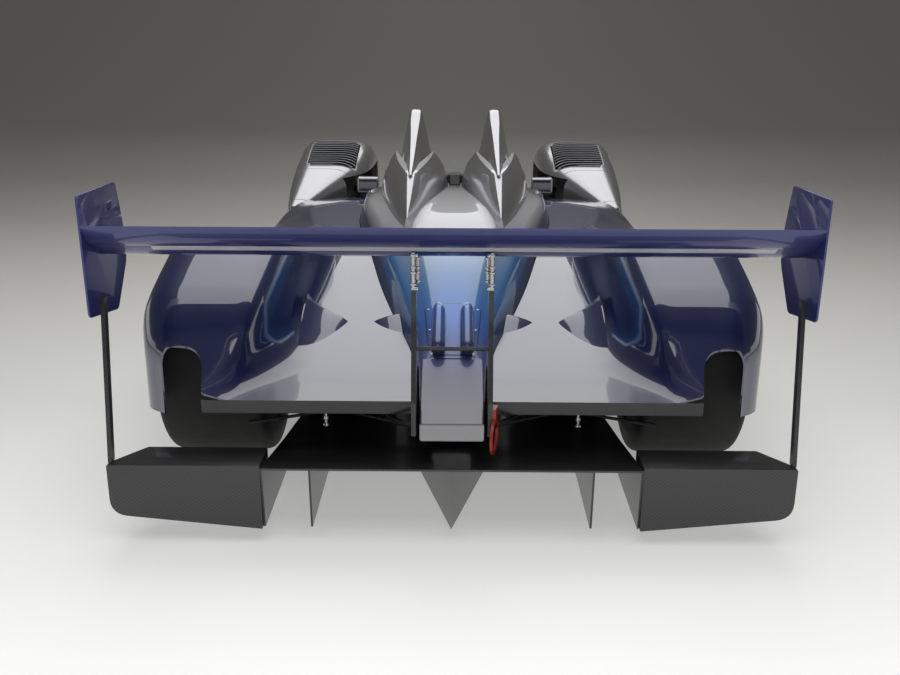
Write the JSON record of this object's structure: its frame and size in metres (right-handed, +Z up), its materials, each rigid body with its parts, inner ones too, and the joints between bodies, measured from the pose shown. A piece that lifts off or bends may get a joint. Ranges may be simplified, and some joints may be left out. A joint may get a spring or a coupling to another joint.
{
  "type": "open sports prototype race car",
  "caption": "Open two-seat sports prototype race car with enclosed wheels, a full-width rear wing and a deep rear diffuser.",
  "frame": {"origin": "on the ground under the middle of the car's overall box", "axes": "+Y points to the tail, +X to the car's own left side, +Z up"},
  "size_m": [2, 4.62, 1.057],
  "materials": {
    "navy_paint": "deep navy metallic lacquer, gloss",
    "silver_paint": "silver metallic lacquer, gloss",
    "cover_paint": "silver to light blue metallic fade, gloss",
    "carbon": "dark woven carbon laminate, satin",
    "tyre_rubber": "matt black slick tyre",
    "wheel_alloy": "dark anodised, satin",
    "machined_alloy": "machined, satin",
    "dark_steel": "black coated tube, satin",
    "seat_fabric": "black padded cloth",
    "grip_rubber": "soft black grip",
    "clear_screen": "clear polished plastic",
    "tow_red": "red coated strap"
  },
  "bodies": {
    "chassis": {"rear_fender_left": "navy_paint", "rear_fender_right": "navy_paint", "rear_deck_left": "navy_paint", "rear_deck_right": "navy_paint", "sidepod_left": "navy_paint", "sidepod_right": "navy_paint", "wing_main_plane": "navy_paint", "wing_flap": "navy_paint", "wing_endplates": "navy_paint", "tail_blisters": "navy_paint", "front_fender_left": "silver_paint", "front_fender_right": "silver_paint", "roll_hoop_fairings": "silver_paint", "nose_cone": "silver_paint", "mirrors": "silver_paint", "louvre_panels": "silver_paint", "engine_cover": "cover_paint", "tail_box": "cover_paint", "floor_pan": "carbon", "front_splitter": "carbon", "rear_diffuser": "carbon", "diffuser_end_boxes": "carbon", "wing_pylons": "carbon", "wing_stays": "carbon", "monocoque_tub": "carbon", "pylon_crossbar": "carbon", "rear_uprights": "machined_alloy", "engine_block": "machined_alloy", "gearbox_case": "machined_alloy", "steering_column": "machined_alloy", "front_wishbones": "dark_steel", "rear_wishbones": "dark_steel", "driver_seat": "seat_fabric", "windscreen": "clear_screen", "headlamps": "clear_screen", "tow_ring": "tow_red"},
    "front_knuckle_left": {"front_upright_left": "machined_alloy"},
    "front_knuckle_right": {"front_upright_right": "machined_alloy"},
    "front_wheel_left": {"front_tyre_left": "tyre_rubber", "front_rim_left": "wheel_alloy"},
    "front_wheel_right": {"front_tyre_right": "tyre_rubber", "front_rim_right": "wheel_alloy"},
    "rear_wheel_left": {"rear_tyre_left": "tyre_rubber", "rear_rim_left": "wheel_alloy"},
    "rear_wheel_right": {"rear_tyre_right": "tyre_rubber", "rear_rim_right": "wheel_alloy"},
    "steering_wheel": {"steering_wheel": "grip_rubber"}
  },
  "joints": [
    {"name": "steer_left", "type": "hinge", "parent": "chassis", "child": "front_knuckle_left", "pos_m": [0.735, -1.31, 0.325], "axis": [0, 0, 1], "range_deg": [-16, 16]},
    {"name": "steer_right", "type": "hinge", "parent": "chassis", "child": "front_knuckle_right", "pos_m": [-0.735, -1.31, 0.325], "axis": [0, 0, 1], "range_deg": [-16, 16]},
    {"name": "turn_steering_wheel", "type": "hinge", "parent": "chassis", "child": "steering_wheel", "pos_m": [0.122, -0.64, 0.48], "axis": [0, 1, 0], "range_deg": [-128, 128]},
    {"name": "roll_front_left", "type": "hinge", "parent": "front_knuckle_left", "child": "front_wheel_left", "pos_m": [0.775, -1.31, 0.325], "axis": [1, 0, 0], "continuous": true},
    {"name": "roll_front_right", "type": "hinge", "parent": "front_knuckle_right", "child": "front_wheel_right", "pos_m": [-0.775, -1.31, 0.325], "axis": [1, 0, 0], "continuous": true},
    {"name": "roll_rear_left", "type": "hinge", "parent": "chassis", "child": "rear_wheel_left", "pos_m": [0.792, 1.56, 0.355], "axis": [1, 0, 0], "continuous": true},
    {"name": "roll_rear_right", "type": "hinge", "parent": "chassis", "child": "rear_wheel_right", "pos_m": [-0.792, 1.56, 0.355], "axis": [1, 0, 0], "continuous": true}
  ],
  "couplings": [
    {"joint": "steer_right", "follows": "steer_left", "ratio": 1},
    {"joint": "turn_steering_wheel", "follows": "steer_left", "ratio": 8}
  ]
}
